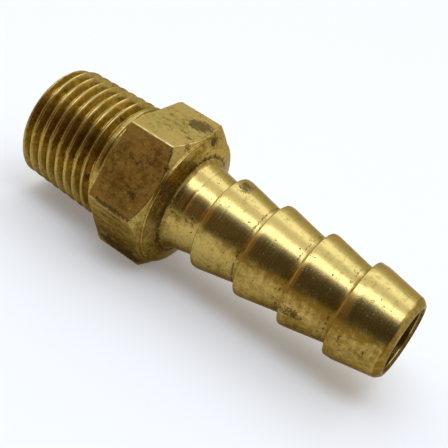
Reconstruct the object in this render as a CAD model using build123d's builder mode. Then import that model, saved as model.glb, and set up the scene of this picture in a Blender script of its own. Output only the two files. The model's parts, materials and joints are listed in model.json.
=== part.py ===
"""Brass hose tail, turned in one piece from hexagon bar.

A taper pipe thread screws into a valve or a manifold, the hexagon takes a spanner and
four barbs hold a soft hose. A plain bore runs through the whole fitting.

Frame: millimetres, X along the bore, Z up. The origin is on the bore's axis, in the plane
of the hexagon's thread-side face. The thread points to -X and the barbs to +X. The fitting
lies on one flat of the hexagon, so the opposite flat faces up.
"""
import os
from math import atan2, ceil, degrees, hypot, radians, sqrt, tan

from build123d import *

# Hexagon
across_flats = 11.0
hexagon_length = 4.57  # thread-side face to the far end of a flat
hexagon_edge_radius = 0.2
thread_side_bevel = 0.1  # along X, at the corners
thread_side_bevel_angle = 30.0  # from the end face
barb_side_bevel_angle = 35.0  # from the end face

# Shoulder: a turned rim beside the hexagon, then a shallow cone down to the neck
shoulder_radius = 5.45
shoulder_rim_length = 0.2
shoulder_cone_length = 0.53
neck_fillet = 0.5

# Taper pipe thread, R 1/8: 55 degree Whitworth form on a 1 in 16 taper
threads_per_inch = 28
gauge_diameter = 9.728  # over the crests, in the gauge plane
gauge_length = 4.0  # from the thread's free end to the gauge plane
taper_on_diameter = 1 / 16
flank_angle = 27.5
thread_length = 8.44  # from the hexagon to the free end
thread_end_chamfer = 0.32
groove_stop = 1.25  # from the hexagon to the middle of the last full groove
groove_stop_angle = 150.0  # round the axis, from the upper flat
run_out_turns = 0.9
cutter_clearance = 0.02  # between the crests and the cutter's top edge

# Neck and barbs
neck_root_radius = 3.71
neck_length = 2.83
barb_count = 4
barb_pitch = 3.95
barb_crest_radius = 3.884
barb_root_radius = 3.15
barb_land = 0.35
barb_edge_chamfer = 0.07

# Tip
last_land = 0.69
last_cone_length = 3.2
tip_radius = 3.3
tip_chamfer_length = 0.38
tip_face_radius = 2.95

# Bore
bore_radius = 2.4
tip_countersink_radius = 2.6
tip_countersink_depth = 0.2
thread_countersink_radius = 2.7
thread_countersink_depth = 0.3

# Derived sizes of the thread
pitch = 25.4 / threads_per_inch
taper = taper_on_diameter / 2
sharp_height = pitch / (2 * tan(radians(flank_angle)))
truncation = sharp_height / 6
groove_depth = sharp_height - 2 * truncation
crest_width = 2 * truncation * tan(radians(flank_angle))

# Derived places along X
rim_start = hexagon_length + (across_flats / 2 - shoulder_radius) * tan(
    radians(barb_side_bevel_angle)
)
rim_end = rim_start + shoulder_rim_length
neck_start = rim_end + shoulder_cone_length
first_barb = neck_start + neck_length
last_barb = first_barb + (barb_count - 1) * barb_pitch
tip_start = last_barb + last_land + last_cone_length
tip_end = tip_start + tip_chamfer_length


def crest_radius(x):
    """Radius over the thread's crests in the plane at x."""
    return gauge_diameter / 2 + taper * (x + thread_length - gauge_length)


def cone_helix(start_x, start_radius, turns, rise):
    """Helix round the X axis whose radius grows by rise in each turn."""
    return Helix(
        pitch=hypot(pitch, rise),  # Helix takes its pitch along the cone, not along the axis
        height=turns * pitch,
        radius=start_radius,
        center=(start_x, 0, 0),
        direction=(1, 0, 0),
        cone_angle=degrees(atan2(rise, pitch)),
    )


# Thread groove: full turns that come in from beyond the free end, then the run-out turn that
# climbs until the cutter is clear of the crests
full_turns = ceil((thread_length - groove_stop) / pitch + 1)
groove_start = -groove_stop - full_turns * pitch
groove_crest = crest_radius(groove_start)
run_out_rise = taper * pitch + (groove_depth + cutter_clearance) / run_out_turns
groove_root = groove_crest - groove_depth
root_half = crest_width / 2
cutter_top = groove_crest + cutter_clearance
cutter_half = root_half + (cutter_top - groove_root) * tan(radians(flank_angle))
with BuildPart() as thread_groove:
    with BuildLine() as groove_path:
        cone_helix(groove_start, groove_crest, full_turns, taper * pitch)
        cone_helix(-groove_stop, crest_radius(-groove_stop), run_out_turns, run_out_rise)
    with BuildSketch(Plane.XZ):
        with BuildLine():
            Polyline(
                (groove_start - root_half, groove_root),
                (groove_start + root_half, groove_root),
                (groove_start + cutter_half, cutter_top),
                (groove_start - cutter_half, cutter_top),
                close=True,
            )
        make_face()
    sweep(path=groove_path.wires()[0], is_frenet=True, transition=Transition.TRANSFORMED)

# Threaded end, cut on a blank that is longer than the thread and then faced to length
blank_end = -thread_length - 3 * pitch
blank_depth = hexagon_length / 2  # how far the blank reaches into the hexagon
facing_radius = across_flats
chamfer_start = crest_radius(-thread_length) - thread_end_chamfer
with BuildPart() as threaded_end:
    with BuildSketch(Plane.XZ):
        with BuildLine():
            Polyline(
                (blank_end, 0),
                (blank_end, crest_radius(blank_end)),
                (blank_depth, crest_radius(blank_depth)),
                (blank_depth, 0),
                close=True,
            )
        make_face()
    revolve(axis=Axis.X)
    add(thread_groove.part.rotate(Axis.X, groove_stop_angle), mode=Mode.SUBTRACT)
    with BuildSketch(Plane.XZ):
        with BuildLine():
            Polyline(
                (-thread_length, 0),
                (-thread_length, chamfer_start),
                (-thread_length + facing_radius - chamfer_start, facing_radius),
                (blank_end - pitch, facing_radius),
                (blank_end - pitch, 0),
                close=True,
            )
        make_face()
    revolve(axis=Axis.X, mode=Mode.SUBTRACT)

# Hexagon bar, its corners bevelled on both sides
corner_radius = across_flats / sqrt(3)
thread_side_face_radius = corner_radius - thread_side_bevel / tan(radians(thread_side_bevel_angle))
turned_radius = 1.1 * corner_radius
with BuildPart() as hexagon:
    with BuildSketch(Plane.YZ) as bar_section:
        RegularPolygon(radius=across_flats / 2, side_count=6, major_radius=False)
        fillet(bar_section.vertices(), radius=hexagon_edge_radius)
    extrude(amount=rim_start)
    with BuildSketch(Plane.XZ):
        with BuildLine():
            Polyline(
                (0, 0),
                (0, thread_side_face_radius),
                (
                    (turned_radius - thread_side_face_radius)
                    * tan(radians(thread_side_bevel_angle)),
                    turned_radius,
                ),
                (
                    hexagon_length
                    - (turned_radius - across_flats / 2) * tan(radians(barb_side_bevel_angle)),
                    turned_radius,
                ),
                (rim_start, shoulder_radius),
                (rim_start, 0),
                close=True,
            )
        make_face()
    revolve(axis=Axis.X, mode=Mode.INTERSECT)

# Shoulder, neck, barbs and tip, from a root inside the hexagon
with BuildPart() as barbed_end:
    with BuildSketch(Plane.XZ) as barb_section:
        with BuildLine():
            outline = [
                (blank_depth, 0),
                (blank_depth, shoulder_radius),
                (rim_end, shoulder_radius),
                (neck_start, neck_root_radius),
                (first_barb, barb_root_radius),
            ]
            for barb in range(barb_count - 1):
                barb_x = first_barb + barb * barb_pitch
                outline += [
                    (barb_x, barb_crest_radius),
                    (barb_x + barb_land, barb_crest_radius),
                    (barb_x + barb_pitch, barb_root_radius),
                ]
            outline += [
                (last_barb, barb_crest_radius),
                (last_barb + last_land, barb_crest_radius),
                (tip_start, tip_radius),
                (tip_end, tip_face_radius),
                (tip_end, 0),
            ]
            Polyline(*outline, close=True)
        make_face()
        neck_root = barb_section.vertices().filter_by_position(
            Axis.X, neck_start - 0.01, neck_start + 0.01
        )
        fillet(neck_root, radius=neck_fillet)
        steep_corners = [
            corner
            for corner in barb_section.vertices()
            for barb in range(barb_count)
            if abs(corner.X - first_barb - barb * barb_pitch) < 1e-6
            and abs(corner.Y - barb_crest_radius) < 1e-6
        ]
        chamfer(steep_corners, length=barb_edge_chamfer)
    revolve(axis=Axis.X)

# The whole fitting, with its bore
with BuildPart() as hose_tail:
    add(threaded_end.part)
    add(hexagon.part)
    add(barbed_end.part)
    with BuildSketch(Plane.XZ):
        with BuildLine():
            Polyline(
                (-thread_length, 0),
                (-thread_length, thread_countersink_radius),
                (-thread_length + thread_countersink_depth, bore_radius),
                (tip_end - tip_countersink_depth, bore_radius),
                (tip_end, tip_countersink_radius),
                (tip_end, 0),
                close=True,
            )
        make_face()
    revolve(axis=Axis.X, mode=Mode.SUBTRACT)

os.makedirs("parts", exist_ok=True)
hose_tail.part.label = "hose_tail"
export_step(hose_tail.part, "parts/hose_tail.step")
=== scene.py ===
"""Visual model of a brass hose tail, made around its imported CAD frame.

One mesh stands for the one turned piece: a rounded Whitworth thread with its run-out, the
hexagon with softened edges, the shoulder, the neck and four barbs, and the through bore.
Lengths are in millimetres until the mesh is made, which is in metres.
Angles round the axis, called turn here, run from +Z towards -Y, the way a right-hand thread
advances along +X.
"""

import json
from math import atan2, ceil, cos, pi, radians, sin, sqrt, tan

import bmesh
import bpy
import numpy as np
from mathutils import Matrix, Vector


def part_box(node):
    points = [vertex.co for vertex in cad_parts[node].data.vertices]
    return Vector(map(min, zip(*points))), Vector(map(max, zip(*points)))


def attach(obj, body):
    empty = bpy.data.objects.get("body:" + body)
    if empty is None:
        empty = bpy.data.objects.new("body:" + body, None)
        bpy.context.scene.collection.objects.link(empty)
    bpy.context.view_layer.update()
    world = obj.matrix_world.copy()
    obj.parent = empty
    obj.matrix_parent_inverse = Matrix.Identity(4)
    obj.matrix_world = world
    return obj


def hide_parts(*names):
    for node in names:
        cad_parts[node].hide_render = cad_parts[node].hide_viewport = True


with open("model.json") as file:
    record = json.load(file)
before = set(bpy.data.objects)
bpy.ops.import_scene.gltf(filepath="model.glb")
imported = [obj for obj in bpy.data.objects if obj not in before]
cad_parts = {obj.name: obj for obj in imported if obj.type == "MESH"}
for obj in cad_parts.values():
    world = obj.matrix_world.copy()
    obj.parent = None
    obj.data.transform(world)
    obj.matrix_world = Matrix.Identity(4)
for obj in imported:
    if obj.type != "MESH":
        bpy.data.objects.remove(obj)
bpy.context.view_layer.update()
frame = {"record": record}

MM = 0.001

# ---------------------------------------------------------------- sizes from the frame
box_low, box_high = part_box("hose_tail")
mounts = {mount["name"]: mount for mount in frame["record"]["mounts"]}
thread_length = -box_low[0] / MM
tip_end = box_high[0] / MM
across_flats = (box_high[2] - box_low[2]) / MM
floor_height = box_low[2]  # metres
bore_radius = mounts["bore"]["dims"]["r_mm"]
barb_crest_radius = mounts["hose_barbs"]["dims"]["r_mm"]

# ---------------------------------------------------------------- sizes, in millimetres
# Thread: 55 degree Whitworth form on a 1 in 16 taper, its crests and roots rounded
pitch = 25.4 / 28
gauge_radius = 9.728 / 2
gauge_length = 4.0
taper = 1 / 32
flank_angle = radians(27.5)
groove_depth = 0.640327 * pitch
thread_rounding = 0.137329 * pitch
groove_stop = 1.25
groove_stop_turn = radians(150)
run_out_turns = 0.9
cutter_clearance = 0.02
thread_end_chamfer = 0.32

# Hexagon
hexagon_length = 4.57
hexagon_edge_radius = 0.2
thread_side_bevel = 0.1
thread_side_bevel_angle = radians(30)
barb_side_bevel_angle = radians(35)

# Shoulder and neck
shoulder_radius = 5.45
shoulder_rim_length = 0.2
shoulder_cone_length = 0.53
neck_root_radius = 3.71
neck_length = 2.83
neck_rounding = 0.36  # gives a fillet of nearly 0.5

# Barbs and tip
barb_count = 4
barb_pitch = 3.95
barb_root_radius = 3.15
barb_land = 0.35
barb_root_rounding = 0.5
barb_edge_rounding = 0.09
tool_line_place = 6.4  # a fine groove round the neck
tool_line_half = 0.03
tool_line_depth = 0.015
last_land = 0.69
tip_radius = 3.3
tip_chamfer_length = 0.38
tip_face_radius = 2.95

# Small roundings: how far from a corner its curve begins
face_rounding = 0.03
bevel_rounding = 0.05
land_rounding = 0.12
tip_rounding = 0.12
bore_rounding = 0.04

# Bore mouths
tip_countersink_radius = 2.6
tip_countersink_depth = 0.2
thread_countersink_radius = 2.7
thread_countersink_depth = 0.3

# Places along the axis, and the turn that half a rounded edge of the hexagon takes
corner_radius = across_flats / sqrt(3)
hexagon_edge_turn = atan2(hexagon_edge_radius / 2, corner_radius - hexagon_edge_radius / sqrt(3) / 2)
rim_start = hexagon_length + (across_flats / 2 - shoulder_radius) * tan(barb_side_bevel_angle)
rim_end = rim_start + shoulder_rim_length
neck_start = rim_end + shoulder_cone_length
first_barb = neck_start + neck_length
last_barb = first_barb + (barb_count - 1) * barb_pitch
tip_start = tip_end - tip_chamfer_length

# ---------------------------------------------------------------- mesh density
rows_per_pitch = 18
row_spacing = 0.22
bore_row_spacing = 2.4
corner_rows = 4
holding_share = 0.12  # rows held beside a rounded corner, as a share of its rounding
most_rounding = 0.4  # of the way to the next corner
face_row_inset = 0.1  # from the thread's roots to the last row on the end face
merge_distance = 2e-7  # metres


def column_turns():
    """Turns of the mesh's columns: close together at the hexagon's corners, even between.

    A sector runs from the middle of one flat to the middle of the next, in degrees from the
    corner between them.
    """
    corner_half = 1.6
    plain_steps = 15
    corner_steps = np.array([-corner_half, -0.92, -0.6, -0.3, 0.0, 0.3, 0.6, 0.92])
    before = np.linspace(-30, -corner_half, plain_steps, endpoint=False)
    after = np.linspace(corner_half, 30, plain_steps, endpoint=False)
    sector = np.concatenate([before, corner_steps, after])
    columns = np.concatenate([30 + 60 * side + sector for side in range(6)])
    return np.radians(columns)


turns = column_turns()


def crest_radius(x):
    """Radius over the thread's crests in the plane at x."""
    return gauge_radius + taper * (x + thread_length - gauge_length)


def thread_radius(x, turn):
    """Radius of the threaded surface at x and turn: crests, flanks, roots and run-out."""
    rounding_half = thread_rounding * cos(flank_angle)
    slope = tan(flank_angle)
    crest_truncation = pitch / 4 / slope - groove_depth / 2
    out_of_reach = 10.0
    nearest = np.round((x + groove_stop) / pitch - (turn - groove_stop_turn) / (2 * pi))
    deepest = np.full(np.broadcast(x, turn).shape, -out_of_reach)
    for step in (-1, 0, 1):
        centre = -groove_stop + pitch * (nearest + step + (turn - groove_stop_turn) / (2 * pi))
        aside = np.abs(x - centre)
        flank = groove_depth / 2 + (pitch / 4 - aside) / slope
        inside = np.minimum(aside, rounding_half)
        root = groove_depth - thread_rounding + np.sqrt(thread_rounding**2 - inside**2)
        depth = np.where(aside < rounding_half, root, flank)
        run_out = np.clip((centre + groove_stop) / pitch / run_out_turns, 0, None)
        lift = (groove_depth + cutter_clearance) * run_out
        lift = np.where(run_out > 1, out_of_reach, lift)
        deepest = np.maximum(deepest, depth - lift)
    from_crest = np.clip((deepest + crest_truncation) * slope, 0, rounding_half)
    rounded = thread_rounding - np.sqrt(thread_rounding**2 - from_crest**2)
    on_flank = deepest > rounding_half / slope - crest_truncation
    radius = crest_radius(x) - np.where(on_flank, deepest, rounded)
    chamfer = crest_radius(-thread_length) - thread_end_chamfer + x + thread_length
    return np.minimum(radius, chamfer)


def hexagon_radius(turn):
    """Radius of the hexagon's side at a turn, with its long edges rounded."""
    from_corner = np.abs((turn % (pi / 3)) - pi / 6)
    flat = across_flats / 2 / np.cos(pi / 6 - from_corner)
    centre = (across_flats / 2 - hexagon_edge_radius) / cos(pi / 6)
    across = np.minimum(centre * np.sin(from_corner), hexagon_edge_radius)
    rounded = centre * np.cos(from_corner) + np.sqrt(hexagon_edge_radius**2 - across**2)
    return np.where(from_corner < hexagon_edge_turn, rounded, flat)


def towards(here, there, length):
    """Step of that length from here towards there, but only so much of the way."""
    step = there - here
    distance = np.maximum(np.hypot(*step), 1e-9)
    return step * np.minimum(length / distance, most_rounding)


def outline_rows(corners, spacing):
    """Mesh rows along an outline, as (places, edge, surface), its corners rounded.

    Each corner is (x, radius, rounding, surface). Its x and radius are one number all round
    or one for each column, and surface names what lies between it and the next corner.
    Edge is up to 1 on an outward corner, down to -1 in an inward one and 0 between them.
    A corner without rounding has one row and no edge.
    """
    places = [np.array(np.broadcast_arrays(x, r, turns)[:2], float) for x, r, _, _ in corners]
    rows = []
    surface = corners[0][3]
    for index, (here, (_, _, rounding, beyond)) in enumerate(zip(places, corners)):
        if rounding == 0:
            surface = beyond
            rows.append((here, 0, surface))
            continue
        back = towards(here, places[index - 1], rounding)
        onward = towards(here, places[index + 1], rounding)
        lengths = np.maximum(np.hypot(*back) * np.hypot(*onward), 1e-9)
        bend = (back[0] * onward[1] - back[1] * onward[0]) / lengths
        rows.append((here + (1 + holding_share) * back, 0, surface))
        surface = beyond
        for share in np.linspace(0, 1, corner_rows):
            place = here + (1 - share) ** 2 * back + share**2 * onward
            rows.append((place, bend * sin(pi * share), surface))
        rows.append((here + (1 + holding_share) * onward, 0, surface))
    closer = []
    for (start, edge, surface), (end, _, _) in zip(rows, rows[1:]):
        closer.append((start, edge, surface))
        count = ceil(np.hypot(*(end - start)).max() / spacing)
        for step in range(1, count):
            closer.append((start + (end - start) * step / count, 0, surface))
    return closer + rows[-1:]


def body_rows():
    """Rows from the collar, over the hexagon and the barbs, to the tip's face."""
    side = hexagon_radius(turns)
    face_edge = corner_radius - thread_side_bevel / tan(thread_side_bevel_angle)
    bevelled = np.maximum(side - face_edge, 0) * tan(thread_side_bevel_angle)
    flat_end = hexagon_length - (side - across_flats / 2) * tan(barb_side_bevel_angle)
    corners = [
        (0, crest_radius(0), 0, "face"),
        (0, np.minimum(side, face_edge), face_rounding, "face"),
        (bevelled, side, face_rounding, "flat"),
        (flat_end, side, bevel_rounding, "bevel"),
        (rim_start, shoulder_radius, face_rounding, "rim"),
        (rim_end, shoulder_radius, bevel_rounding, "shoulder"),
        (neck_start, neck_root_radius, neck_rounding, "neck"),
    ]
    for aside, depth in ((-tool_line_half, 0), (0, tool_line_depth), (tool_line_half, 0)):
        share = (tool_line_place + aside - neck_start) / neck_length
        radius = neck_root_radius + (barb_root_radius - neck_root_radius) * share
        corners.append((tool_line_place + aside, radius - depth, 0, "neck"))
    for barb in range(barb_count):
        start = first_barb + barb * barb_pitch
        land = last_land if barb == barb_count - 1 else barb_land
        corners += [
            (start, barb_root_radius, barb_root_rounding, "step"),
            (start, barb_crest_radius, barb_edge_rounding, "land"),
            (start + land, barb_crest_radius, land_rounding, "cone"),
        ]
    corners += [
        (tip_start, tip_radius, tip_rounding, "tip"),
        (tip_end, tip_face_radius, tip_rounding, "lip"),
        (tip_end, tip_countersink_radius, 0, "mouth"),
    ]
    return outline_rows(corners, row_spacing)


def bore_rows():
    """Rows from the tip's mouth, along the bore, to the threaded end's face."""
    face_row = crest_radius(-thread_length) - groove_depth - face_row_inset
    corners = [
        (tip_end, tip_countersink_radius, 0, "mouth"),
        (tip_end - tip_countersink_depth, bore_radius, bore_rounding, "bore"),
        (-thread_length + thread_countersink_depth, bore_radius, bore_rounding, "mouth"),
        (-thread_length, thread_countersink_radius, face_rounding, "face"),
        (-thread_length, face_row, 0, "face"),
    ]
    return outline_rows(corners, bore_row_spacing)[1:]


def thread_rows():
    """Rows that follow the helix from the end face to the hexagon, cut off at both planes."""
    start = -thread_length - pitch
    count = ceil((thread_length + pitch) / pitch * rows_per_pitch)
    rows = []
    for row in range(count + 1):
        helix_x = start + row * pitch / rows_per_pitch + pitch * turns / (2 * pi)
        x = np.clip(helix_x, -thread_length, 0)
        radius = thread_radius(x, turns)
        depth = (crest_radius(x) - radius) / groove_depth
        rows.append((np.array([x, radius]), 1 - 2 * depth, "thread"))
    return rows


# ---------------------------------------------------------------- marks of use, painted shade and painted light
# Each mark is (x, turn in degrees, half-length along the axis, half-width round it, strength).
# A dent's strength is its depth. A patch with a negative strength is paler. Some stains, patches and
# rings below are painted shade, and some patches and places painted light.
dents = [
    (-1.43, 19.5, 0.10, 0.10, 0.05),  # pit in the last groove
    (-2.77, 48.7, 0.06, 0.09, 0.05),  # nick in a crest
    (0.58, 11.0, 0.14, 0.05, 0.02),  # scratches on the upper flat
    (1.19, 9.7, 0.12, 0.05, 0.02),
    (1.36, 5.5, 0.10, 0.06, 0.02),
    (4.84, 54.9, 0.10, 0.22, 0.06),  # pit in the shoulder's rim
    (6.19, 53.6, 0.06, 0.12, 0.02),  # specks on the neck
    (7.24, 70.0, 0.07, 0.09, 0.03),
    (17.81, -17.3, 0.08, 0.08, 0.04),  # pit on the third barb
    (20.87, 90.6, 0.07, 0.14, 0.03),  # nicks on the last barb
    (22.76, 94.5, 0.07, 0.14, 0.03),
]
# Stains, and painted shade where marked
stains_and_shade = [
    (3.27, -14.5, 1.45, 1.1, 0.88),  # upper flat
    (3.1, -13.0, 0.9, 0.6, 0.3),
    (3.95, 10.8, 0.6, 0.3, 0.7),
    (2.2, 12.0, 1.6, 0.3, 0.42),
    (1.2, 22.0, 0.8, 0.35, 0.45),
    (0.9, -8.0, 0.35, 0.5, 0.5),
    (-1.43, 19.5, 0.16, 0.22, 1.2),  # last groove
    (-1.15, 93.0, 0.22, 0.5, 1.0),
    (2.9, 45.0, 1.5, 0.5, 0.5),  # front flat
    (2.0, 52.0, 1.8, 0.3, 0.5),
    (2.6, 70.0, 1.3, 0.5, 0.52),
    (0.85, 77.3, 0.3, 0.3, 0.7),
    (3.12, 75.0, 0.4, 0.3, 0.8),
    (2.3, 84.0, 1.9, 0.25, 0.5),
    (2.1, 95.8, 2.1, 0.14, 1.0),  # long scratches on and beside the lower long edge
    (2.2, 88.4, 2.2, 0.13, 1.0),
    (2.3, 90.0, 2.2, 0.12, 1.0),
    (4.15, 36.0, 0.14, 0.35, 0.9),  # along the bevel
    (4.42, 45.0, 0.12, 0.5, 0.8),
    (2.3, 137.0, 2.4, 1.3, 0.72),  # painted shade along the lower edge of the lower front flat, where it faces the shadowed floor
    (2.3, 143.0, 2.3, 0.6, 0.8),
    (4.84, 54.9, 0.15, 0.35, 1.2),  # shoulder
    (4.4, 20.0, 0.25, 0.4, 0.8),
    (4.88, -10.6, 0.15, 0.35, 0.9),
    (5.24, 118.0, 0.12, 0.22, 0.9),
    (5.4, 65.0, 0.4, 0.5, 0.7),  # neck
    (6.19, 53.6, 0.1, 0.2, 1.1),
    (7.24, 70.0, 0.11, 0.16, 1.3),
    (6.5, 75.0, 1.6, 0.25, 0.45),
    (9.0, -2.0, 0.65, 0.85, 0.9),  # first barb
    (8.8, -6.0, 0.25, 0.25, 0.6),
    (10.2, 20.0, 1.2, 0.3, 0.42),
    (17.0, 100.0, 1.0, 0.6, 0.8),  # third barb
    (17.81, -17.3, 0.12, 0.12, 1.2),
    (20.87, 90.6, 0.1, 0.2, 0.9),  # last barb
    (22.76, 94.5, 0.1, 0.2, 0.9),
]
# Tarnish, and painted shade and light where marked
tarnish_and_shade_patches = [
    (2.3, 120.0, 3.2, 3.0, 0.95),  # lower front flat, painted shade where it faces the shadowed floor
    (2.3, 60.0, 3.0, 2.8, 0.74),  # front flat
    (2.3, 0.0, 3.0, 2.8, 0.15),  # upper flat
    (5.1, -10.0, 0.6, 4.0, 0.4),  # shoulder
    (13.5, 105.0, 3.5, 2.4, 0.34),  # painted shade on the barbs' lower side, darker towards the tip
    (20.8, 105.0, 5.2, 3.0, 0.62),
    (7.0, 150.0, 3.0, 2.2, 0.5),  # painted shade on the underside
    (15.0, 155.0, 9.0, 2.0, 0.5),
    (-4.8, 115.0, 4.2, 1.9, -0.3),  # threaded end: painted light below, and painted shade in front where it reflects the dim side
    (-4.8, 62.0, 4.2, 1.5, 0.28),
    (-4.8, 78.0, 4.2, 0.8, 0.4),
    (-4.8, 38.0, 4.2, 0.9, 0.32),
    (6.6, 78.0, 1.6, 0.4, 0.5),  # painted shade deepening the dark reflected band below the middle of the neck and the barbs
    (16.2, 74.0, 8.0, 0.4, 0.4),
    (16.2, 77.0, 8.0, 0.75, 0.5),
    (5.0, 24.0, 0.4, 1.5, 0.6),  # upper front of the shoulder
    (11.88, 40.0, 0.24, 4.0, 0.5),  # tarnish and painted shade in the root fillets before the steps
    (15.83, 40.0, 0.24, 4.0, 0.5),
    (19.78, 40.0, 0.24, 4.0, 0.5),
    (12.0, -120.0, 3.0, 2.0, 0.3),  # hidden side
    (19.0, 200.0, 3.0, 2.0, 0.3),
    (2.0, -100.0, 2.5, 2.5, 0.4),
]
# Painted light: places made paler, like worn brass, across the dark reflected band in front
painted_light_places = [
    (5.0, 66.0, 0.32, 2.3, 0.97),  # front of the shoulder
    (6.9, 58.0, 1.1, 0.8, 0.92),  # front of the neck and the first barb
    (10.0, 57.0, 1.7, 0.75, 0.87),
]
thread_wear = 0.86
rim_wear = 0.5
long_edge_wear = np.array([1.0, 0.3, 1.0, 0.9, 1.0, 0.85])  # from turn 30 degrees onwards
long_edge_share = 0.8  # of the rounded edge's width is worn
root_tarnish = 0.9  # in inward corners
# Painted shade: the bore's mouths darkened as if shade falls into them
painted_mouth_shade = 1.1
# Each ring of grime and painted shade is (x, half-length, strength) and runs all round
grime_and_shade_rings = [
    (5.22, 0.075, 0.95),  # the neck's root, a painted dark reflection of the neck in its fillet
    (4.85, 0.05, 0.35),  # beside the shoulder's rim
    (8.08, 0.06, 0.5),  # before the barbs' steps, painted shade in the root fillets
    (11.58, 0.07, 0.8),
    (15.53, 0.07, 0.7),
    (19.48, 0.07, 0.66),
    (23.9, 0.05, 0.45),  # start of the tip's chamfer
]
surface_tarnish = {
    "thread": 0.40,
    "face": 0.45,
    "tip": 0.5,
    "lip": 0.5,
    "mouth": 0.5,
    "bore": 0.4,
    "bevel": 0.2,
    "rim": 0.45,
    "shoulder": 0.05,
}


def marks(listed, x, radius, turn, sharpness):
    """Strength of the listed marks at each point: sharpness 1 is soft, 2 has clear borders."""
    strength = np.zeros_like(x)
    for mark_x, mark_turn, half_length, half_width, most in listed:
        around = (turn - radians(mark_turn) + pi) % (2 * pi) - pi
        distance = ((x - mark_x) / half_length) ** 2 + (around * radius / half_width) ** 2
        strength += most * np.exp(-(distance**sharpness))
    return strength


def hose_tail_piece(materials):
    """The whole skin: one closed sheet of rows round the axis and back through the bore."""
    helix = thread_rows()
    rows = helix + body_rows()[1:] + bore_rows()
    surfaces = [surface for _, _, surface in rows]
    x = np.array([place[0] for place, _, _ in rows])
    radius = np.array([place[1] for place, _, _ in rows])
    edge = np.array([np.broadcast_to(edge, turns.shape) for _, edge, _ in rows])
    turn = np.broadcast_to(turns, x.shape)
    outer = np.array([surface != "bore" for surface in surfaces])[:, None]
    radius = radius - outer * marks(dents, x, radius, turn, 1)
    # stains, with painted shade in the root fillets, the bore's mouths and the hexagon's lower edge
    stain_and_shade = outer * marks(stains_and_shade, x, radius, turn, 2)
    # rings of grime and painted shade, darkest in the root fillets
    for ring_x, half_length, most in grime_and_shade_rings:
        stain_and_shade += outer * most * np.exp(-(((x - ring_x) / half_length) ** 2))
    # painted shade in the bore's mouths
    stain_and_shade += painted_mouth_shade * np.array([surface == "mouth" for surface in surfaces])[:, None]
    # tarnish, with painted shade and light from the patches
    tarnish_and_shade = np.array([surface_tarnish.get(surface, 0.0) for surface in surfaces])[:, None]
    tarnish_and_shade = tarnish_and_shade + outer * marks(tarnish_and_shade_patches, x, radius, turn, 2)
    tarnish_and_shade = np.maximum(tarnish_and_shade, -root_tarnish * edge)
    from_corner = np.abs((turn % (pi / 3)) - pi / 6)
    long_edge = np.array([surface == "flat" for surface in surfaces])[:, None]
    corner_wear = long_edge_wear[(turn // (pi / 3)).astype(int) % 6]
    long_edge = long_edge * (from_corner < hexagon_edge_turn * long_edge_share) * corner_wear
    on_rim = np.array([surface in ("rim", "shoulder") for surface in surfaces])[:, None]
    wear_and_painted_light = np.maximum(np.where(on_rim, rim_wear * edge, edge), long_edge)
    threaded = np.array([surface == "thread" for surface in surfaces])[:, None]
    wear_and_painted_light = np.where(threaded, thread_wear * edge * (x < -groove_stop), wear_and_painted_light)
    # painted light across the dark reflected band in front
    wear_and_painted_light = np.maximum(wear_and_painted_light, outer * marks(painted_light_places, x, radius, turn, 2))
    points = np.stack([x, -radius * np.sin(turn), radius * np.cos(turn)], axis=-1) * MM

    row_count, column_count = x.shape
    last_helix = len(helix) - 1
    faces = []
    slots = []
    for row in range(row_count):
        following = (row + 1) % row_count
        for column in range(column_count):
            beside = (column + 1) % column_count
            near, far = row, following
            if beside == 0 and row < last_helix:
                near = min(row + rows_per_pitch, last_helix)
                far = min(following + rows_per_pitch, last_helix)
            corners = ((row, column), (near, beside), (far, beside), (following, column))
            faces.append([place[0] * column_count + place[1] for place in corners])
            slots.append(1 if surfaces[row] == "flat" else 0)

    mesh = bpy.data.meshes.new("hose_tail_skin")
    mesh.from_pydata(points.reshape(-1, 3).tolist(), [], faces)
    for material in materials:
        mesh.materials.append(material)
    mesh.polygons.foreach_set("material_index", slots)
    # wear with painted light, tarnish with painted shade and light, stains with painted shade
    for name, values in (("wear_and_painted_light", wear_and_painted_light), ("tarnish_and_shade", tarnish_and_shade), ("stain_and_shade", stain_and_shade)):
        layer = mesh.attributes.new(name, "FLOAT", "POINT")
        layer.data.foreach_set("value", values.ravel())
    skin = bmesh.new()
    skin.from_mesh(mesh)
    bmesh.ops.remove_doubles(skin, verts=skin.verts, dist=merge_distance)
    bmesh.ops.recalc_face_normals(skin, faces=skin.faces)
    skin.to_mesh(mesh)
    skin.free()
    mesh.shade_smooth()
    piece = bpy.data.objects.new("hose_tail_brass", mesh)
    bpy.context.collection.objects.link(piece)
    return piece


# ---------------------------------------------------------------- materials
def node(tree, kind, inputs=None, **settings):
    """A shader node with its settings, and its inputs set to a value or linked to a socket."""
    made = tree.nodes.new(kind)
    for name, value in settings.items():
        setattr(made, name, value)
    for name, value in (inputs or {}).items():
        if isinstance(value, bpy.types.NodeSocket):
            tree.links.new(value, made.inputs[name])
        else:
            made.inputs[name].default_value = value
    return made


def maths(tree, operation, *values):
    """Result of a Math node."""
    return node(tree, "ShaderNodeMath", dict(enumerate(values)), operation=operation).outputs[0]


def ramp(tree, value, low, high):
    """Value taken smoothly from 0 at low to 1 at high."""
    inputs = {"Value": value, "From Min": low, "From Max": high}
    made = node(tree, "ShaderNodeMapRange", inputs, interpolation_type="SMOOTHSTEP")
    return made.outputs["Result"]


def mixed(tree, share, first, second):
    """Colour between two colours."""
    made = node(tree, "ShaderNodeMix", {"Factor": share}, data_type="RGBA")
    for socket, value in ((made.inputs[6], first), (made.inputs[7], second)):
        if isinstance(value, bpy.types.NodeSocket):
            tree.links.new(value, socket)
        else:
            socket.default_value = (*value, 1)
    return made.outputs[2]


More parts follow.
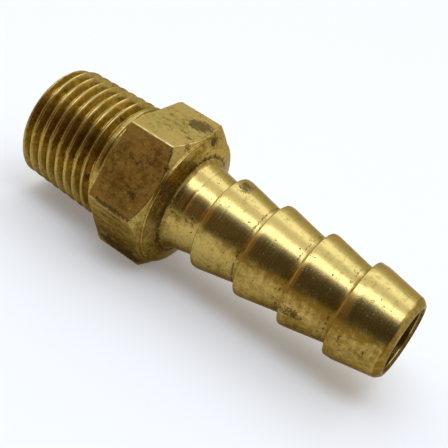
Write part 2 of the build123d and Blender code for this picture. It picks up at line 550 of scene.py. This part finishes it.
def noise(tree, place, scale, detail=2.0, roughness=0.5):
    """Noise between 0 and 1, scale cells to a unit of place."""
    inputs = {"Vector": place, "Scale": scale, "Detail": detail, "Roughness": roughness}
    return node(tree, "ShaderNodeTexNoise", inputs).outputs["Fac"]


def from_half(tree, value, factor, base):
    """Base, plus factor times the distance of a noise's value from its middle, a half."""
    distance = maths(tree, "SUBTRACT", value, 0.5)
    return maths(tree, "MULTIPLY_ADD", distance, factor, base)


def scaled(tree, place, factors):
    """Place stretched by a factor along each axis."""
    made = node(tree, "ShaderNodeVectorMath", {0: place, 1: factors}, operation="MULTIPLY")
    return made.outputs["Vector"]


clean_brass = (0.49, 0.335, 0.092)
green_brass = (0.45, 0.335, 0.090)
# tarnish, and painted shade
tarnished_and_shaded_brass = (0.21, 0.118, 0.017)
# wear, and painted light
worn_and_lit_brass = (0.62, 0.48, 0.19)
# stains, and painted shade
stain_and_shade_brown = (0.062, 0.030, 0.008)
grazing_tint = (0.60, 0.54, 0.44, 1)


def brass(name, turned, roughness, relief, unevenness):
    """Worn brass, with painted shade and light, and the rings of the lathe or the draw marks of bar
    stock.

    Relief is the height of those marks in millimetres, and unevenness is how much of the
    noise goes into the tarnished share of the colour.
    """
    material = bpy.data.materials.new(name)
    material.use_nodes = True
    tree = material.node_tree
    shader = tree.nodes["Principled BSDF"]
    coordinates = node(tree, "ShaderNodeTexCoord").outputs["Object"]
    place = scaled(tree, coordinates, (1000, 1000, 1000))  # in millimetres
    # wear with painted light, tarnish with painted shade and light, stains with painted shade
    wear_and_painted_light = node(tree, "ShaderNodeAttribute", attribute_name="wear_and_painted_light").outputs["Fac"]
    old_and_shaded = node(tree, "ShaderNodeAttribute", attribute_name="tarnish_and_shade").outputs["Fac"]
    stain_and_shade = node(tree, "ShaderNodeAttribute", attribute_name="stain_and_shade").outputs["Fac"]

    # Marks of the tool: rings that follow a turned surface, or lines along the bar
    if turned:
        split = node(tree, "ShaderNodeSeparateXYZ", {0: place}).outputs
        across = scaled(tree, place, (0, 1, 1))
        radius = node(tree, "ShaderNodeVectorMath", {0: across}, operation="LENGTH")
        along = maths(tree, "MULTIPLY_ADD", radius.outputs["Value"], 1.3, split["X"])
        rings = {0: along, 1: split["Y"], 2: split["Z"]}
        rings = node(tree, "ShaderNodeCombineXYZ", rings).outputs[0]
        broad_place = scaled(tree, rings, (4.0, 0.12, 0.12))
        fine_place = scaled(tree, rings, (16.0, 0.5, 0.5))
        marks_broad = noise(tree, broad_place, 1.0, detail=3.0, roughness=0.7)
        marks_fine = noise(tree, fine_place, 1.0, detail=2.0, roughness=0.6)
    else:
        broad_place = scaled(tree, place, (0.22, 2.2, 2.2))
        fine_place = scaled(tree, place, (0.8, 9.0, 9.0))
        marks_broad = noise(tree, broad_place, 1.0, detail=4.0, roughness=0.7)
        marks_fine = noise(tree, fine_place, 1.0, detail=3.0, roughness=0.7)

    # Unevenness at three sizes, and small flaws: specks, dots and hairline scratches
    blotches = noise(tree, place, 0.45, detail=5.0, roughness=0.6)
    mottle = noise(tree, place, 2.4, detail=4.0, roughness=0.65)
    grain = noise(tree, place, 7.0, detail=4.0, roughness=0.7)
    specks = ramp(tree, noise(tree, place, 3.2), 0.68, 0.74)
    dots = ramp(tree, noise(tree, place, 7.5, detail=1.0), 0.69, 0.75)
    specks = maths(tree, "MAXIMUM", specks, dots)
    hairlines = noise(tree, scaled(tree, place, (0.5, 8.0, 8.0)), 1.0)
    hairlines = ramp(tree, hairlines, 0.70, 0.76)
    flaws = maths(tree, "MAXIMUM", specks, maths(tree, "MULTIPLY", hairlines, 0.6))

    # Colour: clean metal, then tarnish and painted shade, worn edges and painted light, and stains,
    # painted shade and flaws
    uneven = -0.10
    for value, factor in ((mottle, 1.9), (blotches, 1.3), (grain, 0.7), (marks_broad, 0.9)):
        uneven = from_half(tree, value, factor, uneven)
    tarnish_and_shade = maths(tree, "MULTIPLY_ADD", uneven, unevenness, old_and_shaded)
    tarnish_and_shade = maths(tree, "MINIMUM", maths(tree, "MAXIMUM", tarnish_and_shade, 0.0), 1.0)
    colour = mixed(tree, ramp(tree, blotches, 0.35, 0.65), clean_brass, green_brass)
    colour = mixed(tree, tarnish_and_shade, colour, tarnished_and_shaded_brass)
    # wear, and painted light across the dark reflected band in front
    worn_and_lit = maths(tree, "MULTIPLY", ramp(tree, wear_and_painted_light, 0.75, 1.0), ramp(tree, mottle, 0.40, 0.60))
    colour = mixed(tree, worn_and_lit, colour, worn_and_lit_brass)
    # stains, and painted shade in the root fillets, the bore's mouths and the hexagon's lower edge
    mottled = from_half(tree, mottle, 1.2, from_half(tree, grain, 2.4, stain_and_shade))
    stained_and_shaded = maths(tree, "MULTIPLY", ramp(tree, mottled, 0.40, 0.90), 0.8)
    dark = maths(tree, "MAXIMUM", stained_and_shaded, maths(tree, "MULTIPLY", flaws, 0.7))
    colour = mixed(tree, dark, colour, stain_and_shade_brown)
    tree.links.new(colour, shader.inputs["Base Color"])

    # Gloss: duller where it is tarnished and where shade is painted, and dull and a little less
    # metallic in the dark spots
    fine_share = 0.16
    gloss = maths(tree, "MULTIPLY_ADD", marks_fine, fine_share, roughness - fine_share / 2)
    gloss = maths(tree, "MULTIPLY_ADD", tarnish_and_shade, 0.08, gloss)
    gloss = maths(tree, "MULTIPLY_ADD", dark, 0.30, gloss)
    tree.links.new(gloss, shader.inputs["Roughness"])
    metal = maths(tree, "MULTIPLY_ADD", dark, -0.08, 1.0)
    tree.links.new(metal, shader.inputs["Metallic"])
    shader.inputs["Specular Tint"].default_value = grazing_tint

    # Relief: the tool's marks, a fine grain, and flaws sunk into the surface
    height = marks_broad
    for value, factor in ((marks_fine, 0.35), (grain, 0.15), (mottle, 0.3), (flaws, -0.5)):
        height = maths(tree, "MULTIPLY_ADD", value, factor, height)
    bumps = {"Strength": 1.0, "Distance": relief * MM, "Height": height}
    bump = node(tree, "ShaderNodeBump", bumps)
    tree.links.new(bump.outputs["Normal"], shader.inputs["Normal"])
    return material


turned_brass = brass("turned_brass", turned=True, roughness=0.225, relief=0.006, unevenness=1.1)
drawn_brass = brass("drawn_brass", turned=False, roughness=0.30, relief=0.022, unevenness=1.7)

tail = hose_tail_piece([turned_brass, drawn_brass])
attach(tail, "root")
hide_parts("hose_tail")


# ---------------------------------------------------------------- floor, light and camera
def floor():
    """A wide pale floor under the part, which shows white and keeps the part's shadow."""
    reach = 3.0  # metres each way
    colour = (0.70, 0.66, 0.55, 1)
    glow = 0.19  # lifts the floor to white where the camera or a reflection sees it
    mesh = bpy.data.meshes.new("floor")
    signs = ((-1, -1), (1, -1), (1, 1), (-1, 1))
    corners = [(x * reach, y * reach, floor_height) for x, y in signs]
    mesh.from_pydata(corners, [], [(0, 1, 2, 3)])
    plane = bpy.data.objects.new("floor", mesh)
    bpy.context.collection.objects.link(plane)
    material = bpy.data.materials.new("pale_floor")
    material.use_nodes = True
    tree = material.node_tree
    shader = tree.nodes["Principled BSDF"]
    shader.inputs["Base Color"].default_value = colour
    shader.inputs["Roughness"].default_value = 0.9
    shader.inputs["Specular IOR Level"].default_value = 0.0
    rays = node(tree, "ShaderNodeLightPath").outputs
    seen = maths(tree, "MAXIMUM", rays["Is Camera Ray"], rays["Is Glossy Ray"])
    seen = maths(tree, "MAXIMUM", seen, rays["Is Transmission Ray"])
    shader.inputs["Emission Color"].default_value = (1, 1, 1, 1)
    tree.links.new(maths(tree, "MULTIPLY", seen, glow), shader.inputs["Emission Strength"])
    mesh.materials.append(material)


def facing(tree, direction, side, low, high):
    """How far a direction looks to one side: 0 up to the low cosine, 1 from the high one."""
    inputs = {0: direction, 1: Vector(side).normalized()}
    cosine = node(tree, "ShaderNodeVectorMath", inputs, operation="DOT_PRODUCT")
    return ramp(tree, cosine.outputs["Value"], low, high)


def sky():
    """Soft light from all round, dim on the side where the photographer stands."""
    wall_light = (0.76, 0.76, 0.74)
    ceiling_light = (1.20, 1.34, 1.62)
    dim_light = (0.075, 0.060, 0.052)
    dim_warm_light = (0.27, 0.160, 0.082)  # the dim side, towards the thread
    warm_light = (0.30, 0.178, 0.080)
    world = bpy.data.worlds.new("studio")
    bpy.context.scene.world = world
    world.use_nodes = True
    tree = world.node_tree
    direction = node(tree, "ShaderNodeTexCoord").outputs["Generated"]
    split = node(tree, "ShaderNodeSeparateXYZ", {0: direction}).outputs
    bright = mixed(tree, ramp(tree, split["Z"], 0.35, 0.80), wall_light, ceiling_light)
    dim = mixed(tree, ramp(tree, split["X"], 0.10, -0.45), dim_light, dim_warm_light)
    dim_share = facing(tree, direction, (0.35, -0.85, 0.29), 0.40, 0.84)
    warm_share = facing(tree, direction, (-0.43, -0.79, 0.44), 0.84, 0.985)
    colour = mixed(tree, dim_share, bright, dim)
    colour = mixed(tree, warm_share, colour, warm_light)
    tree.links.new(colour, tree.nodes["Background"].inputs["Color"])
    tree.nodes["Background"].inputs["Strength"].default_value = 1.0


def softbox(name, toward, depth, radiance, colour):
    """A rectangular lamp that faces the part from the direction toward; sizes in metres."""
    distance = 0.4
    width = 0.36
    light = bpy.data.lights.new(name, "AREA")
    light.shape = "RECTANGLE"
    light.size = width
    light.size_y = depth
    light.energy = radiance * pi * width * depth
    light.color = colour
    lamp = bpy.data.objects.new(name, light)
    lamp.location = Vector(toward).normalized() * distance
    lamp.rotation_euler = Vector(toward).to_track_quat("Z", "Y").to_euler()
    bpy.context.collection.objects.link(lamp)


def camera():
    """The camera at the photograph's angle, tilted about its own axis."""
    place = Vector((31.68, -53.24, 36.97)) * MM
    target = Vector((8.314, 0.085, 0.0)) * MM
    roll = radians(19.72)
    data = bpy.data.cameras.new("camera")
    data.lens = 73.0
    data.sensor_width = 36.0
    data.clip_start = 0.005
    data.clip_end = 10.0
    view = bpy.data.objects.new("camera", data)
    upright = (target - place).to_track_quat("-Z", "Y").to_matrix().to_4x4()
    view.matrix_world = Matrix.Translation(place) @ upright @ Matrix.Rotation(roll, 4, "Z")
    bpy.context.collection.objects.link(view)
    bpy.context.scene.camera = view


floor()
sky()
softbox(
    "overhead_softbox",
    toward=(0.05, -0.235, 1.0),
    depth=0.148,
    radiance=2.9,
    colour=(0.84, 1.0, 1.60),
)
softbox(
    "rear_softbox",
    toward=(0.05, 0.74, 1.0),
    depth=0.17,
    radiance=1.1,
    colour=(0.88, 1.0, 1.60),
)
camera()
bpy.context.scene.view_settings.view_transform = "Standard"
